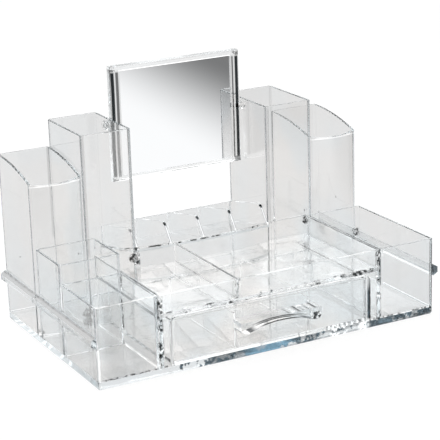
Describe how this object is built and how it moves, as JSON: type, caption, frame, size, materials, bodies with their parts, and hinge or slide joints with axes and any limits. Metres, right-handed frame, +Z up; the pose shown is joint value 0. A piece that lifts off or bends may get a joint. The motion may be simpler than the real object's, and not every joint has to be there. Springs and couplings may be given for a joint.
{
  "type": "make-up organiser",
  "caption": "Clear acrylic vanity organiser with open bins, brush towers, lipstick rack, a sliding drawer and a tilting mirror held between the tall towers.",
  "frame": {"origin": "middle of the base plate's underside, on the surface that the organiser stands on", "axes": "+Z up, +X to the right seen from the front, the front faces -Y"},
  "size_m": [0.329, 0.2076, 0.2195],
  "materials": {
    "clear_acrylic": "clear, polished",
    "drawer_acrylic": "clear, polished",
    "frame_acrylic": "clear, polished",
    "mirror": "silvered behind, grey paint on the back"
  },
  "bodies": {
    "organiser": {"base_plate": "clear_acrylic", "left_front_bin": "clear_acrylic", "left_middle_bin": "clear_acrylic", "right_bin": "clear_acrylic", "left_outer_tower": "clear_acrylic", "left_inner_tower": "clear_acrylic", "right_inner_tower": "clear_acrylic", "right_outer_tower": "clear_acrylic", "left_bay_wall": "clear_acrylic", "right_bay_wall": "clear_acrylic", "bay_front_frame": "clear_acrylic", "deck_tray": "clear_acrylic", "deck_partition": "clear_acrylic", "rack_floor": "clear_acrylic", "rack_fin_1": "clear_acrylic", "rack_fin_2": "clear_acrylic", "rack_fin_3": "clear_acrylic", "rack_fin_4": "clear_acrylic", "rack_fin_5": "clear_acrylic", "back_wall": "clear_acrylic", "left_side_rail": "clear_acrylic", "right_side_rail": "clear_acrylic"},
    "drawer": {"drawer_tray": "drawer_acrylic", "drawer_front": "drawer_acrylic", "drawer_pull": "drawer_acrylic", "drawer_left_partition": "drawer_acrylic", "drawer_right_partition": "drawer_acrylic"},
    "mirror": {"mirror_frame": "frame_acrylic", "mirror_plate": "mirror", "left_pivot_pin": "frame_acrylic", "right_pivot_pin": "frame_acrylic"}
  },
  "joints": [
    {"name": "drawer_slide", "type": "slide", "parent": "organiser", "child": "drawer", "axis": [0, -1, 0], "range_m": [0, 0.1]},
    {"name": "mirror_tilt", "type": "hinge", "parent": "organiser", "child": "mirror", "pos_m": [0, 0.071, 0.1685], "axis": [1, 0, 0], "continuous": true}
  ]
}
